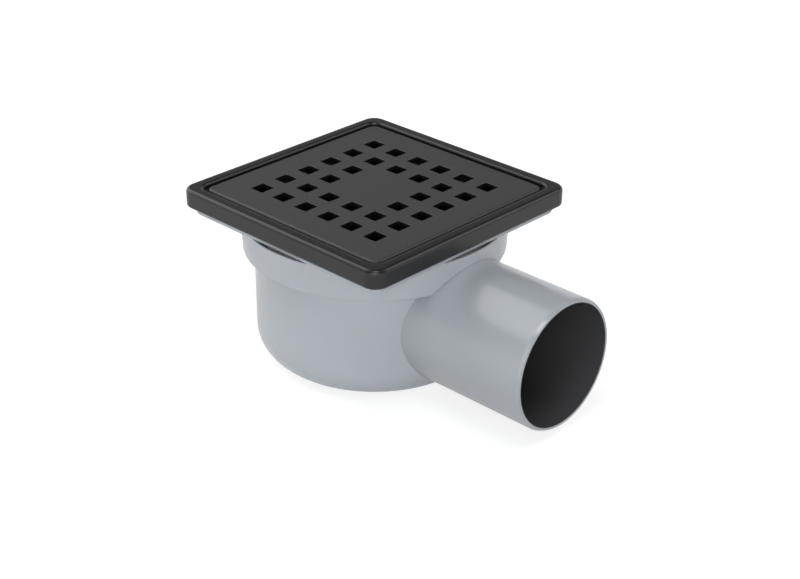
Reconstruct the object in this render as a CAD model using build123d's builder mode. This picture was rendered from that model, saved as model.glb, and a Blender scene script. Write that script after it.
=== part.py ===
from build123d import *
import os

# A floor gully with a water trap: a moulded body with a side outlet, and a square cover whose
# round spigot plugs into the body's collar. Millimetres. Z = 0 is the floor that the body stands
# on, Z is the body's axis, and the outlet points along +X.

# Shared values
overrun = 2.0              # how far a cut runs past the face it opens
running_gap = 0.3          # between curved faces of pieces that turn or slide on each other
seating_gap = 0.2          # between curved faces of pieces that only sit in each other

# Trap body
body_wall = 2.4
bowl_radius = 68.8
bowl_corner_radius = 18.8
collar_step = 4.2          # from the bowl's outer face out to the collar's bore
collar_foot_wall = 2.1
collar_rim_wall = 3.4
collar_height = 18.8
collar_edge_round = 1.2
lead_in_depth = 2.6        # the chamfer that guides the spigot into the collar
lead_in_width = 2.4
cup_ring_radius = 30.0     # the low ring on the bowl's floor that centres the cup
cup_ring_wall = 2.0
cup_ring_height = 3.0

# Outlet
outlet_radius = 37.5       # fits the sockets of 75 mm plastic pipe
outlet_wall = 2.4
outlet_floor_gap = 4.5     # under the outlet
outlet_crown = 11.9        # how far the outlet's top stands above the step between bowl and collar
outlet_reach = 140.0
outlet_draft = 0.5         # extra radius on the body's axis, so that the mould's core pulls out
outlet_draft_end = 84.0    # from here on the outlet is straight, to enter a socket
outlet_chamfer_length = 1.8
outlet_chamfer_width = 0.8

# Raising flange
flange_inset = 4.0         # from the cover's outer face in to the flange's
flange_thickness = 3.0
flange_corner_radius = 8.0
flange_edge_round = 0.6
spigot_gap = 2.4           # between the spigot and the collar's bore, for the seal
spigot_wall = 2.4
spigot_length = 12.9
seat_width = 4.7           # the ledge inside the spigot that carries the trap insert
seat_thickness = 2.2
bead_stand = 1.2           # how far the two beads stand out that hold the collar seal
bead_width = 1.4
bead_offset = 1.5          # from the flange down to the upper bead

# Collar seal
seal_height = 5.8
seal_body_thickness = 1.0
seal_lip_height = 1.6
seal_lip_tip = 0.4
seal_lip_share = 0.25      # a lip's middle, as a share of the height from either end

# Cover frame
frame_band = 7.7           # width of the frame's top, from its outer face to the groove
frame_corner_radius = 8.5
frame_rise = 15.2          # top of the frame above the collar's rim
frame_wall = 2.4
frame_edge_round = 2.4
frame_foot_round = 1.8
frame_lip_round = 1.7
skirt_lift = 4.0           # foot of the skirt above the collar's rim
groove_width = 1.8         # the shallow groove round the grate
groove_corner_radius = 6.0
groove_depth = 3.2
recess_margin = 0.4        # from the throat out to the recess
recess_corner_radius = 5.6
frame_floor = 2.0
throat_step = 0.7          # how far the frame's floor reaches in past the spigot's bore
peg_radius = 2.0
peg_length = 4.5
peg_inset = 7.4            # from the recess's side in to a peg's middle
stiffener_width = 2.0
stiffener_spacing = 40.0
stiffeners_per_side = 3

# Grate
grate_clearance = 0.5
grate_drop = 0.8           # how far the grate's face lies below the frame's top
grate_thickness = 3.0
grate_corner_radius = 5.0
grate_edge_round = 1.6
grate_wall = 2.2
hole_pitch = 17.83
hole_side = 9.3
hole_corner_round = 0.6
hole_edge_chamfer = 0.2
holes_per_side = 6
blank_per_side = 2         # the plain square left in the middle of the grid
rib_width = 2.0
rib_depth = 4.5
rib_line_shares = (-2, 0, 2)    # ribs run between the holes, in hole pitches from the middle

# Trap insert
insert_wall = 2.0
insert_rim_wall = 3.4
insert_rim_height = 5.2
insert_rim_round = 0.6
funnel_drop = 4.5
funnel_round = 4.0
dip_tube_radius = 26.0
dip_tube_gap = 10.0        # between the dip tube's end and the cup's floor
gusset_count = 6
gusset_start_angle = 30.0
gusset_reach = 22.0
gusset_drop = 14.0
gusset_width = 1.8
bar_width = 5.0
bar_rise = 7.0             # top of the lifting bar above the insert's seat
bar_depth = 10.5
bar_round = 1.6

# O-ring round the insert's rim
o_ring_cord_radius = 1.25
o_ring_gap = 0.1

# Trap cup
cup_rim_radius = 46.0
cup_draft = 2.0
cup_wall = 2.2
cup_corner_radius = 10.0
cup_mouth_gap = 13.7       # from the cup's rim up to the insert's seat, where the water turns over
cup_foot_height = 3.4
cup_bead_width = 1.6
cup_bead_height = 2.4

# Heights worked out from the sizes above
outlet_axis_height = outlet_floor_gap + outlet_radius
bowl_height = outlet_axis_height + outlet_radius - outlet_crown
collar_rim = bowl_height + collar_height
spigot_bottom = collar_rim - spigot_length
seat_top = spigot_bottom + seat_thickness
flange_top = collar_rim + flange_thickness
frame_top = collar_rim + frame_rise
frame_seat = flange_top + frame_floor
skirt_foot = collar_rim + skirt_lift
grate_top = frame_top - grate_drop
upper_bead = collar_rim - bead_offset - bead_width
seal_bottom = upper_bead - running_gap - seal_height
lower_bead = seal_bottom - running_gap - bead_width
cup_floor = body_wall + cup_foot_height
cup_rim = seat_top - cup_mouth_gap
dip_tube_end = cup_floor + cup_wall + dip_tube_gap

# Radii and half widths worked out from the sizes above
bowl_bore_radius = bowl_radius - body_wall
collar_bore_radius = bowl_radius + collar_step
collar_foot_radius = collar_bore_radius + collar_foot_wall
collar_rim_radius = collar_bore_radius + collar_rim_wall
lead_in_radius = collar_bore_radius + lead_in_width
outlet_bore_radius = outlet_radius - outlet_wall
spigot_radius = collar_bore_radius - spigot_gap
spigot_bore_radius = spigot_radius - spigot_wall
seat_bore_radius = spigot_bore_radius - seat_width
throat_radius = spigot_bore_radius - throat_step
recess_half = throat_radius + recess_margin
groove_half = recess_half + groove_width
frame_half = groove_half + frame_band
flange_half = frame_half - flange_inset
peg_place = recess_half - peg_inset
insert_rim_radius = throat_radius - running_gap
insert_rim_bore_radius = insert_rim_radius - insert_rim_wall
dip_tube_bore_radius = dip_tube_radius - insert_wall
funnel_edge_radius = seat_bore_radius - running_gap
o_ring_radius = spigot_bore_radius - o_ring_gap - o_ring_cord_radius
cup_base_radius = cup_rim_radius - cup_draft
cup_foot_bore_radius = cup_ring_radius + seating_gap


# Trap body: bowl, collar and outlet in one moulding, with a low ring that centres the cup
with BuildPart() as trap_body:
    with BuildSketch(Plane.XZ):
        with BuildLine():
            FilletPolyline(
                (0, 0),
                (bowl_radius, 0),
                (bowl_radius, bowl_height),
                (collar_foot_radius, bowl_height),
                (collar_rim_radius, collar_rim),
                (0, collar_rim),
                radius=[0, bowl_corner_radius, 0, collar_edge_round, 0, 0],
                close=True,
            )
        make_face()
    revolve(axis=Axis.Z)
    with BuildSketch(Plane.XZ):
        with BuildLine():
            Polyline(
                (0, outlet_axis_height),
                (0, outlet_axis_height + outlet_radius + outlet_draft),
                (outlet_draft_end, outlet_axis_height + outlet_radius),
                (outlet_reach - outlet_chamfer_length, outlet_axis_height + outlet_radius),
                (outlet_reach, outlet_axis_height + outlet_radius - outlet_chamfer_width),
                (outlet_reach, outlet_axis_height),
                close=True,
            )
        make_face()
    revolve(axis=Axis((0, 0, outlet_axis_height), (1, 0, 0)))
    with BuildSketch(Plane.XZ):
        with BuildLine():
            FilletPolyline(
                (0, body_wall),
                (bowl_bore_radius, body_wall),
                (bowl_bore_radius, bowl_height + body_wall),
                (collar_bore_radius, bowl_height + body_wall),
                (collar_bore_radius, collar_rim - lead_in_depth),
                (lead_in_radius, collar_rim),
                (lead_in_radius, collar_rim + overrun),
                (0, collar_rim + overrun),
                radius=[0, bowl_corner_radius - body_wall, 0, 0, 0, 0, 0, 0],
                close=True,
            )
        make_face()
    revolve(axis=Axis.Z, mode=Mode.SUBTRACT)
    with BuildSketch(Plane.YZ):
        with Locations((0, outlet_axis_height)):
            Circle(outlet_bore_radius)
    extrude(amount=outlet_reach + overrun, mode=Mode.SUBTRACT)
    with BuildSketch(Plane.XY.offset(body_wall)):
        Circle(cup_ring_radius)
        Circle(cup_ring_radius - cup_ring_wall, mode=Mode.SUBTRACT)
    extrude(amount=cup_ring_height)


# Raising flange: square plate, spigot with two beads for the seal, and the seat for the insert
with BuildPart() as raising_flange:
    with BuildSketch(Plane.XY.offset(collar_rim)):
        RectangleRounded(2 * flange_half, 2 * flange_half, flange_corner_radius)
    extrude(amount=flange_thickness)
    fillet(raising_flange.edges().group_by(Axis.Z)[0], flange_edge_round)
    with BuildSketch(Plane.XY.offset(spigot_bottom)):
        Circle(spigot_radius)
    extrude(amount=spigot_length)
    for bead in (lower_bead, upper_bead):
        with BuildSketch(Plane.XY.offset(bead)):
            Circle(spigot_radius + bead_stand)
        extrude(amount=bead_width)
    with BuildSketch(Plane.XY.offset(seat_top)):
        Circle(spigot_bore_radius)
    extrude(amount=flange_top - seat_top, mode=Mode.SUBTRACT)
    with BuildSketch(Plane.XY.offset(spigot_bottom)):
        Circle(seat_bore_radius)
    extrude(amount=seat_thickness, mode=Mode.SUBTRACT)
    with BuildSketch(Plane.XY.offset(collar_rim)):
        with GridLocations(2 * peg_place, 2 * peg_place, 2, 2):
            Circle(peg_radius + seating_gap)
    extrude(amount=flange_thickness, mode=Mode.SUBTRACT)


# Collar seal: a rubber band between the two beads, with two lips that wipe the collar's bore
seal_bore_radius = spigot_radius + running_gap
seal_body_radius = seal_bore_radius + seal_body_thickness
seal_lip_radius = collar_bore_radius - running_gap
with BuildPart() as collar_seal:
    with BuildSketch(Plane.XY.offset(seal_bottom)):
        Circle(seal_body_radius)
        Circle(seal_bore_radius, mode=Mode.SUBTRACT)
    extrude(amount=seal_height)
    for lip_share in (seal_lip_share, 1 - seal_lip_share):
        lip_middle = seal_bottom + seal_height * lip_share
        with BuildSketch(Plane.XZ):
            with BuildLine():
                Polyline(
                    (seal_bore_radius, lip_middle - seal_lip_height / 2),
                    (seal_body_radius, lip_middle - seal_lip_height / 2),
                    (seal_lip_radius, lip_middle - seal_lip_tip / 2),
                    (seal_lip_radius, lip_middle + seal_lip_tip / 2),
                    (seal_body_radius, lip_middle + seal_lip_height / 2),
                    (seal_bore_radius, lip_middle + seal_lip_height / 2),
                    close=True,
                )
            make_face()
        revolve(axis=Axis.Z)


# Cover frame: a stepped channel that rests on the flange, with webs across the recess's corners,
# locating pegs under them and stiffeners inside the skirt
cavity_half = frame_half - frame_wall
inner_wall_half = recess_half + frame_wall
groove_bottom = frame_top - groove_depth
stiffener_length = cavity_half - inner_wall_half + frame_wall
with BuildPart() as cover_frame:
    with BuildSketch(Plane.XY.offset(skirt_foot)):
        RectangleRounded(2 * frame_half, 2 * frame_half, frame_corner_radius)
    extrude(amount=frame_top - skirt_foot)
    fillet(cover_frame.edges().group_by(Axis.Z)[-1], frame_edge_round)
    fillet(cover_frame.edges().group_by(Axis.Z)[0], frame_foot_round)
    with BuildSketch(Plane.XY.offset(skirt_foot)):
        RectangleRounded(2 * cavity_half, 2 * cavity_half, frame_corner_radius - frame_wall)
    extrude(amount=groove_bottom - frame_wall - skirt_foot, mode=Mode.SUBTRACT)
    with BuildSketch(Plane.XY.offset(groove_bottom - frame_wall)):
        RectangleRounded(2 * cavity_half, 2 * cavity_half, frame_corner_radius - frame_wall)
        RectangleRounded(
            2 * (groove_half + frame_wall),
            2 * (groove_half + frame_wall),
            groove_corner_radius + frame_wall,
            mode=Mode.SUBTRACT,
        )
    extrude(amount=groove_depth, mode=Mode.SUBTRACT)
    with BuildSketch(Plane.XY.offset(flange_top)):
        RectangleRounded(2 * inner_wall_half, 2 * inner_wall_half, recess_corner_radius + frame_wall)
    extrude(amount=groove_bottom - flange_top)
    for quarter in range(4):
        with BuildSketch(Plane.XY.offset(skirt_foot + frame_foot_round).rotated((0, 0, 90 * quarter))):
            with Locations((0, (cavity_half + inner_wall_half) / 2)):
                with GridLocations(stiffener_spacing, 0, stiffeners_per_side, 1):
                    Rectangle(stiffener_width, stiffener_length)
        extrude(amount=groove_bottom - frame_wall / 2 - skirt_foot - frame_foot_round)
    with BuildSketch(Plane.XY.offset(frame_seat)):
        RectangleRounded(2 * recess_half, 2 * recess_half, recess_corner_radius)
    extrude(amount=frame_top - frame_seat, mode=Mode.SUBTRACT)
    with BuildSketch(Plane.XY.offset(groove_bottom)):
        RectangleRounded(2 * groove_half, 2 * groove_half, groove_corner_radius)
    extrude(amount=groove_depth, mode=Mode.SUBTRACT)
    lip_edges = cover_frame.edges().group_by(Axis.Z)[-1]
    fillet(lip_edges.filter_by_position(Axis.X, -groove_half, groove_half).filter_by_position(
        Axis.Y, -groove_half, groove_half), frame_lip_round)
    with BuildSketch(Plane.XY.offset(flange_top)):
        Circle(throat_radius)
    extrude(amount=frame_floor, mode=Mode.SUBTRACT)
    with BuildSketch(Plane.XY.offset(flange_top)):
        with GridLocations(2 * peg_place, 2 * peg_place, 2, 2):
            Circle(peg_radius)
    extrude(amount=-peg_length)


# Grate: a shallow lid with 32 square holes, a wall round its edge and crossed ribs under it
grate_half = recess_half - grate_clearance
hole_line = [(place - (holes_per_side - 1) / 2) * hole_pitch for place in range(holes_per_side)]
blank_half = blank_per_side / 2 * hole_pitch
hole_places = [(x, y) for x in hole_line for y in hole_line if max(abs(x), abs(y)) > blank_half]
hole_field_half = hole_line[-1] + hole_side
with BuildPart() as grate:
    with BuildSketch(Plane.XY.offset(frame_seat)):
        RectangleRounded(2 * grate_half, 2 * grate_half, grate_corner_radius)
    extrude(amount=grate_top - frame_seat)
    fillet(grate.edges().group_by(Axis.Z)[-1], grate_edge_round)
    with BuildSketch(Plane.XY.offset(frame_seat)):
        RectangleRounded(
            2 * (grate_half - grate_wall), 2 * (grate_half - grate_wall), grate_corner_radius - grate_wall
        )
    extrude(amount=grate_top - grate_thickness - frame_seat, mode=Mode.SUBTRACT)
    with BuildSketch(Plane.XY.offset(grate_top - grate_thickness)):
        for line_share in rib_line_shares:
            with Locations((line_share * hole_pitch, 0)):
                Rectangle(rib_width, 2 * grate_half - grate_wall)
            with Locations((0, line_share * hole_pitch)):
                Rectangle(2 * grate_half - grate_wall, rib_width)
    extrude(amount=-rib_depth)
    with BuildSketch(Plane.XY.offset(grate_top)):
        with Locations(*hole_places):
            RectangleRounded(hole_side, hole_side, hole_corner_round)
    extrude(amount=-grate_thickness, mode=Mode.SUBTRACT)
    top_edges = grate.edges().group_by(Axis.Z)[-1]
    chamfer(top_edges.filter_by_position(Axis.X, -hole_field_half, hole_field_half).filter_by_position(
        Axis.Y, -hole_field_half, hole_field_half), hole_edge_chamfer)


# Trap insert: rim, funnel and dip tube in one moulding, with gussets and a bar to lift it by
funnel_bottom = seat_top - funnel_drop
funnel_rise_per_mm = funnel_drop / (funnel_edge_radius - dip_tube_radius)
gusset_end = dip_tube_radius + gusset_reach
gusset_end_height = funnel_bottom + gusset_reach * funnel_rise_per_mm
with BuildPart() as trap_insert:
    with BuildSketch(Plane.XZ):
        with BuildLine():
            FilletPolyline(
                (insert_rim_radius, seat_top),
                (insert_rim_radius, seat_top + insert_rim_height),
                (insert_rim_bore_radius, seat_top + insert_rim_height),
                (insert_rim_bore_radius, seat_top + insert_wall),
                (dip_tube_bore_radius, funnel_bottom + insert_wall),
                (dip_tube_bore_radius, dip_tube_end),
                (dip_tube_radius, dip_tube_end),
                (dip_tube_radius, funnel_bottom),
                (funnel_edge_radius, seat_top),
                radius=[0, insert_rim_round, insert_rim_round, 0, funnel_round, 0, 0,
                        funnel_round - insert_wall, 0],
                close=True,
            )
        make_face()
    revolve(axis=Axis.Z)
    with BuildSketch(Plane.XZ):
        with Locations((o_ring_radius, seat_top + insert_rim_height / 2)):
            Rectangle(
                2 * (o_ring_cord_radius + o_ring_gap),
                2 * (o_ring_cord_radius + o_ring_gap),
            )
    revolve(axis=Axis.Z, mode=Mode.SUBTRACT)
    for gusset in range(gusset_count):
        turn = gusset_start_angle + 360 * gusset / gusset_count
        with BuildSketch(Plane.XZ.rotated((0, 0, turn))):
            with BuildLine():
                Polyline(
                    (dip_tube_radius - insert_wall / 2, funnel_bottom + insert_wall / 2),
                    (gusset_end, gusset_end_height + insert_wall / 2),
                    (gusset_end, gusset_end_height),
                    (dip_tube_radius, funnel_bottom - gusset_drop),
                    (dip_tube_radius - insert_wall / 2, funnel_bottom - gusset_drop),
                    close=True,
                )
            make_face()
        extrude(amount=gusset_width / 2, both=True)
    with BuildSketch(Plane.XZ):
        with Locations((0, seat_top + bar_rise - bar_depth / 2)):
            RectangleRounded(2 * dip_tube_radius + funnel_round, bar_depth, bar_round)
    extrude(amount=bar_width / 2, both=True)


# O-ring in the groove of the insert's rim
with BuildPart() as insert_seal:
    with BuildSketch(Plane.XZ):
        with Locations((o_ring_radius, seat_top + insert_rim_height / 2)):
            Circle(o_ring_cord_radius)
    revolve(axis=Axis.Z)


# Trap cup: holds the water that closes off the dip tube; its foot drops over the bowl's ring
with BuildPart() as trap_cup:
    with BuildSketch(Plane.XZ):
        with BuildLine():
            FilletPolyline(
                (0, cup_floor),
                (cup_base_radius, cup_floor),
                (cup_rim_radius, cup_rim - cup_bead_height),
                (cup_rim_radius + cup_bead_width, cup_rim - cup_bead_height),
                (cup_rim_radius + cup_bead_width, cup_rim),
                (cup_rim_radius - cup_wall, cup_rim),
                (cup_base_radius - cup_wall, cup_floor + cup_wall),
                (0, cup_floor + cup_wall),
                radius=[0, cup_corner_radius, 0, cup_bead_width / 2, cup_bead_width / 2, 0,
                        cup_corner_radius - cup_wall, 0],
                close=True,
            )
        make_face()
    revolve(axis=Axis.Z)
    with BuildSketch(Plane.XY.offset(body_wall)):
        Circle(cup_foot_bore_radius + cup_wall)
        Circle(cup_foot_bore_radius, mode=Mode.SUBTRACT)
    extrude(amount=cup_foot_height)


# Label and write each piece
os.makedirs("parts", exist_ok=True)
pieces = {
    "trap_body": trap_body,
    "trap_cup": trap_cup,
    "collar_seal": collar_seal,
    "raising_flange": raising_flange,
    "cover_frame": cover_frame,
    "grate": grate,
    "trap_insert": trap_insert,
    "insert_seal": insert_seal,
}
for name, piece in pieces.items():
    piece.part.label = name
    export_step(piece.part, f"parts/{name}.step")
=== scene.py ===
from math import radians

import bmesh
import bpy
from mathutils import Euler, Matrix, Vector

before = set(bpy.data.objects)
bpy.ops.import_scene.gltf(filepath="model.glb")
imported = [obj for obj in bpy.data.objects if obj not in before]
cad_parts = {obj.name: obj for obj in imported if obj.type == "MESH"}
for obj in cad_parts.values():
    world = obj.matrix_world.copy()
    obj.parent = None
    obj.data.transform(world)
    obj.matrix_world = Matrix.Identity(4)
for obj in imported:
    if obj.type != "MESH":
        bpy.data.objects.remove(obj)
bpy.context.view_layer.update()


# Camera. The gully is photographed from above its outlet corner with a long lens, so that the
# cover's far and near edges stay almost parallel. Place and angles were solved from those edges.
lens_mm = 72.56
camera_place = Vector((0.5855, -0.5887, 0.4703))
camera_turn = Euler((radians(62.387), radians(-0.256), radians(43.977)))
camera_data = bpy.data.cameras.new("camera")
camera_data.lens = lens_mm
camera = bpy.data.objects.new("camera", camera_data)
camera.location = camera_place
camera.rotation_euler = camera_turn
bpy.context.scene.collection.objects.link(camera)
bpy.context.scene.camera = camera
bpy.context.scene.view_settings.view_transform = "Standard"


# Trap body. One injection moulding of cool light grey polypropylene, with a satin skin from a
# finely blasted mould, whose grain is drawn coarser than real so that it shows. The outlet
# carries painted shade, a little darker, and its bore painted shade, near black, because the
# lamps alone leave both too light.
mm = 0.001
grey_hex = "#b8bec4"
grey_deep_hex = "#b2b8bf"
cloud_width = 45 * mm
cloud_detail = 1.0
grey_satin = {"Roughness": 0.2, "IOR": 1.55}
grey_grain = {"width": 0.7 * mm, "depth": 0.012 * mm}
outlet_axis_z = 42 * mm
outlet_shade = 0.85
outlet_edge = 38.2 * mm       # from its axis to just outside its wall
outlet_start = 40 * mm        # leaves out the far side of the bowl
bore_shade_hex = "#4a4a4c"
bore_edge = 35.4 * mm         # from its axis to just past the face of its bore
bore_start = 60 * mm


def linear(hex_colour):
    channels = [int(hex_colour[digit:digit + 2], 16) / 255 for digit in (1, 3, 5)]
    return [c / 12.92 if c <= 0.04045 else ((c + 0.055) / 1.055) ** 2.4 for c in channels] + [1.0]


def add_node(owner, kind, settings=None, values=None, links=None):
    tree = owner.node_tree
    made = tree.nodes.new(kind)
    for name, value in (settings or {}).items():
        setattr(made, name, value)
    for socket, value in (values or {}).items():
        made.inputs[socket].default_value = value
    for socket, output in (links or {}).items():
        tree.links.new(output, made.inputs[socket])
    return made


def new_material(name):
    material = bpy.data.materials.new(name)
    material.use_nodes = True
    material.node_tree.nodes.clear()
    return material


def clouded_grey(material, place):
    cloud = add_node(material, "ShaderNodeTexNoise",
                     values={"Scale": 1 / cloud_width, "Detail": cloud_detail},
                     links={"Vector": place})
    tone = add_node(material, "ShaderNodeMix", {"data_type": "RGBA"},
                    {"A": linear(grey_hex), "B": linear(grey_deep_hex)},
                    {"Factor": cloud.outputs["Fac"]})
    return tone.outputs["Result"]


def finish_moulding(material, place, grain, values, links=None):
    pattern = add_node(material, "ShaderNodeTexNoise", values={"Scale": 1 / grain["width"]},
                       links={"Vector": place})
    bump = add_node(material, "ShaderNodeBump", values={"Distance": grain["depth"]},
                    links={"Height": pattern.outputs["Fac"]})
    shader = add_node(material, "ShaderNodeBsdfPrincipled", values=values,
                      links={"Normal": bump.outputs[0], **(links or {})})
    add_node(material, "ShaderNodeOutputMaterial", links={"Surface": shader.outputs[0]})


def dress(material, *pieces):
    for piece in pieces:
        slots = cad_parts[piece].data.materials
        slots.clear()
        slots.append(material)


satin_grey = new_material("satin moulded grey polypropylene")
place = add_node(satin_grey, "ShaderNodeTexCoord").outputs["Object"]
coords = add_node(satin_grey, "ShaderNodeSeparateXYZ", links={"Vector": place})
height = add_node(satin_grey, "ShaderNodeMath", {"operation": "SUBTRACT"}, {1: outlet_axis_z},
                  {0: coords.outputs["Z"]})
across = add_node(satin_grey, "ShaderNodeCombineXYZ",
                  links={"Y": coords.outputs["Y"], "Z": height.outputs[0]})
from_axis = add_node(satin_grey, "ShaderNodeVectorMath", {"operation": "LENGTH"},
                     links={0: across.outputs[0]})


def outlet_zone(edge, start):
    inside = add_node(satin_grey, "ShaderNodeMath", {"operation": "LESS_THAN"}, {1: edge},
                      {0: from_axis.outputs["Value"]})
    beyond = add_node(satin_grey, "ShaderNodeMath", {"operation": "GREATER_THAN"}, {1: start},
                      {0: coords.outputs["X"]})
    zone = add_node(satin_grey, "ShaderNodeMath", {"operation": "MULTIPLY"},
                    links={0: inside.outputs[0], 1: beyond.outputs[0]})
    return zone.outputs[0]


# painted shade: the outlet's grey is scaled darker, and its bore is mixed to near black
shade = add_node(satin_grey, "ShaderNodeMapRange", values={"To Min": 1.0, "To Max": outlet_shade},
                 links={"Value": outlet_zone(outlet_edge, outlet_start)})
shaded = add_node(satin_grey, "ShaderNodeVectorMath", {"operation": "SCALE"},
                  links={0: clouded_grey(satin_grey, place), "Scale": shade.outputs[0]})
skin_with_painted_shade = add_node(satin_grey, "ShaderNodeMix", {"data_type": "RGBA"}, {"B": linear(bore_shade_hex)},
                {"Factor": outlet_zone(bore_edge, bore_start), "A": shaded.outputs[0]})
finish_moulding(satin_grey, place, grey_grain, grey_satin, {"Base Color": skin_with_painted_shade.outputs["Result"]})
dress(satin_grey, "trap_body")


# Raising flange and trap cup. The flange carries the cover and plugs into the collar; the cup
# stands on the bowl's floor and lifts out. Both are moulded in the body's grey.
plain_grey = new_material("satin moulded grey polypropylene, plain")
place = add_node(plain_grey, "ShaderNodeTexCoord").outputs["Object"]
finish_moulding(plain_grey, place, grey_grain, grey_satin,
                {"Base Color": clouded_grey(plain_grey, place)})
dress(plain_grey, "raising_flange", "trap_cup")


# Cover frame and trap insert. Black moulded polypropylene from a tool polished more finely than
# the grate's, so that rounded edges catch a soft line of light.
black_hex = "#161616"
black_grain = {"width": 0.6 * mm, "depth": 0.012 * mm}
satin_black = new_material("satin moulded black polypropylene")
place = add_node(satin_black, "ShaderNodeTexCoord").outputs["Object"]
finish_moulding(satin_black, place, black_grain,
                {"Base Color": linear(black_hex), "Roughness": 0.3, "IOR": 1.52})
dress(satin_black, "cover_frame", "trap_insert")


# Grate. The same black plastic from a spark-eroded tool, whose even grain, drawn coarser than
# real, scatters light, so that its face is greyer and flatter than the frame round it. Its hole
# walls are painted near black, because the lamps reach them more than in the photograph.
grate_hex = "#383838"
grate_grain = {"width": 0.45 * mm, "depth": 0.03 * mm}
hole_shade_hex = "#0a0a0a"
hole_field_half = 60 * mm     # takes in the holes, but not the grate's outer edge
upright_below = 0.5           # a face whose normal rises less is a hole's wall
grained_black = new_material("spark-eroded black polypropylene")
surface = add_node(grained_black, "ShaderNodeTexCoord")
place = surface.outputs["Object"]
facing = add_node(grained_black, "ShaderNodeSeparateXYZ",
                  links={"Vector": surface.outputs["Normal"]})
upright = add_node(grained_black, "ShaderNodeMath", {"operation": "LESS_THAN"},
                   {1: upright_below}, {0: facing.outputs["Z"]})
spread = add_node(grained_black, "ShaderNodeVectorMath", {"operation": "ABSOLUTE"},
                  links={0: place})
sides = add_node(grained_black, "ShaderNodeSeparateXYZ", links={"Vector": spread.outputs[0]})
farthest = add_node(grained_black, "ShaderNodeMath", {"operation": "MAXIMUM"},
                    links={0: sides.outputs["X"], 1: sides.outputs["Y"]})
inboard = add_node(grained_black, "ShaderNodeMath", {"operation": "LESS_THAN"},
                   {1: hole_field_half}, {0: farthest.outputs[0]})
in_hole = add_node(grained_black, "ShaderNodeMath", {"operation": "MULTIPLY"},
                   links={0: upright.outputs[0], 1: inboard.outputs[0]})
# painted shade: faces in the hole field whose normal rises little, the hole walls, get near black
face = add_node(grained_black, "ShaderNodeMix", {"data_type": "RGBA"},
                {"A": linear(grate_hex), "B": linear(hole_shade_hex)}, {"Factor": in_hole.outputs[0]})
finish_moulding(grained_black, place, grate_grain, {"Roughness": 0.44, "IOR": 1.5},
                {"Base Color": face.outputs["Result"]})
dress(grained_black, "grate")


# Seals. Two rings of black nitrile rubber, one with lips in the collar and one round the insert's
# rim. They are moulded smooth, and duller than the plastic that holds them.
rubber_hex = "#1c1c1c"
rubber_grain = {"width": 1.2 * mm, "depth": 0.02 * mm}
seal_rubber = new_material("smooth black nitrile rubber")
place = add_node(seal_rubber, "ShaderNodeTexCoord").outputs["Object"]
finish_moulding(seal_rubber, place, rubber_grain,
                {"Base Color": linear(rubber_hex), "Roughness": 0.55, "IOR": 1.52})
dress(seal_rubber, "collar_seal", "insert_seal")


# Floor. A plain white studio table. To the camera and in reflections it glows white, and keeps
# a share of its true shading near the gully, which gives the faint soft shadow at its foot.
floor_half = 4.0
table_hex = "#dedede"
white_hex = "#ffffff"
table_glow = 1.56             # over 1, because only a share of it shows round the gully
shade_share = 0.5
mirror_share = 0.5
shade_radius = 0.25
shade_end = 0.75
floor_mesh = bpy.data.meshes.new("floor")
floor_shape = bmesh.new()
bmesh.ops.create_grid(floor_shape, x_segments=1, y_segments=1, size=floor_half)
floor_shape.to_mesh(floor_mesh)
floor_shape.free()
floor = bpy.data.objects.new("floor", floor_mesh)
bpy.context.scene.collection.objects.link(floor)
white_table = new_material("white studio table")
paint = add_node(white_table, "ShaderNodeBsdfDiffuse", values={"Color": linear(table_hex)})
glow = add_node(white_table, "ShaderNodeEmission",
                values={"Color": linear(white_hex), "Strength": table_glow})
ray = add_node(white_table, "ShaderNodeLightPath")
mirrored = add_node(white_table, "ShaderNodeMath", {"operation": "MAXIMUM"},
                    links={0: ray.outputs["Is Glossy Ray"], 1: ray.outputs["Is Transmission Ray"]})
dimmed = add_node(white_table, "ShaderNodeMath", {"operation": "MULTIPLY"}, {1: mirror_share},
                  {0: mirrored.outputs[0]})
seen = add_node(white_table, "ShaderNodeMath", {"operation": "MAXIMUM"},
                links={0: ray.outputs["Is Camera Ray"], 1: dimmed.outputs[0]})
place = add_node(white_table, "ShaderNodeTexCoord").outputs["Object"]
away = add_node(white_table, "ShaderNodeVectorMath", {"operation": "LENGTH"}, links={0: place})
white_share = add_node(white_table, "ShaderNodeMapRange", {"interpolation_type": "SMOOTHSTEP"},
                       {"From Min": shade_radius, "From Max": shade_end,
                        "To Min": 1 - shade_share, "To Max": 1.0},
                       {"Value": away.outputs["Value"]})
share = add_node(white_table, "ShaderNodeMath", {"operation": "MULTIPLY"},
                 links={0: seen.outputs[0], 1: white_share.outputs[0]})
table_top = add_node(white_table, "ShaderNodeMixShader",
                     links={0: share.outputs[0], 1: paint.outputs[0], 2: glow.outputs[0]})
add_node(white_table, "ShaderNodeOutputMaterial", links={"Surface": table_top.outputs[0]})
floor_mesh.materials.append(white_table)


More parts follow.
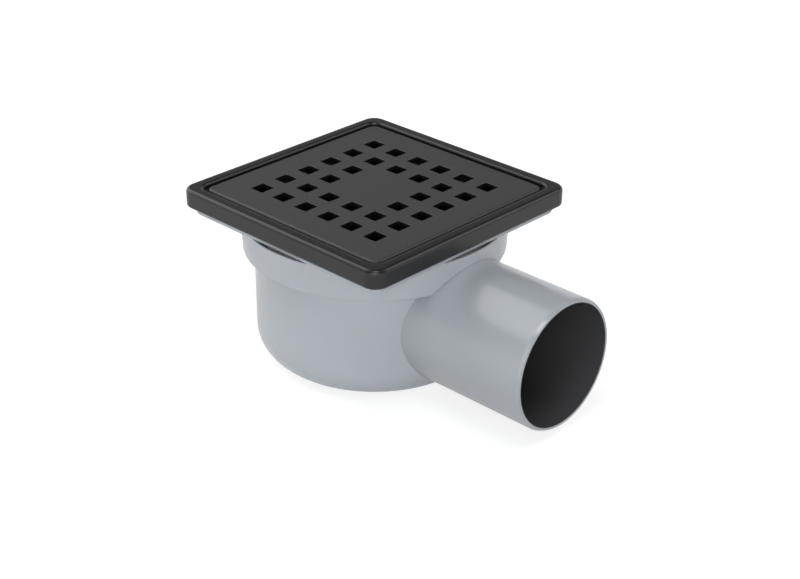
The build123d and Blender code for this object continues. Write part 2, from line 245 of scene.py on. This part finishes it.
# Room. A white cove: pure white behind the gully, bright at eye level all round for the
# reflections, and a dim ceiling that leaves flat polished tops dark.
horizon_light = 1.0
ceiling_light = 0.12
cove_top = 0.05
ceiling_start = 0.42
room = bpy.data.worlds.new("room")
room.use_nodes = True
bpy.context.scene.world = room
room.node_tree.nodes.clear()
heading = add_node(room, "ShaderNodeTexCoord").outputs["Generated"]
rise = add_node(room, "ShaderNodeSeparateXYZ", links={"Vector": heading})
level = add_node(room, "ShaderNodeMapRange", {"interpolation_type": "SMOOTHSTEP"},
                 {"From Min": cove_top, "From Max": ceiling_start,
                  "To Min": horizon_light, "To Max": ceiling_light}, {"Value": rise.outputs["Z"]})
cove = add_node(room, "ShaderNodeBackground", values={"Color": linear(white_hex)},
                links={"Strength": level.outputs["Result"]})
backdrop = add_node(room, "ShaderNodeBackground",
                    values={"Color": linear(white_hex), "Strength": 1.0})
ray = add_node(room, "ShaderNodeLightPath")
straight = add_node(room, "ShaderNodeMath", {"operation": "MAXIMUM"},
                    links={0: ray.outputs["Is Camera Ray"], 1: ray.outputs["Is Transmission Ray"]})
seen_room = add_node(room, "ShaderNodeMixShader",
                     links={0: straight.outputs[0], 1: cove.outputs[0], 2: backdrop.outputs[0]})
add_node(room, "ShaderNodeOutputWorld", links={"Surface": seen_room.outputs[0]})


# Lamps. Four large soft boxes. The left one is the main light: it stands behind the cover, so
# that the cover shades the root of the outlet, and draws the lines of light along the edges.
def add_soft_box(name, place, aim_height, size, power):
    light_data = bpy.data.lights.new(name, "AREA")
    light_data.shape = "SQUARE"
    light_data.size = size
    light_data.energy = power
    light = bpy.data.objects.new(name, light_data)
    light.location = place
    aim = Vector((0, 0, aim_height)) - Vector(place)
    light.rotation_euler = aim.to_track_quat("-Z", "Y").to_euler()
    bpy.context.scene.collection.objects.link(light)


add_soft_box("overhead box", (0.35, -0.35, 1.3), aim_height=0.1, size=0.5, power=4.5)
add_soft_box("left box", (-1.16, -0.26, 1.04), aim_height=0.05, size=1.5, power=13.8)
add_soft_box("right box", (0.78, 1.06, 1.17), aim_height=0.05, size=1.0, power=5.5)
add_soft_box("front box", (1.08, -1.34, 0.62), aim_height=0.05, size=1.4, power=12.3)
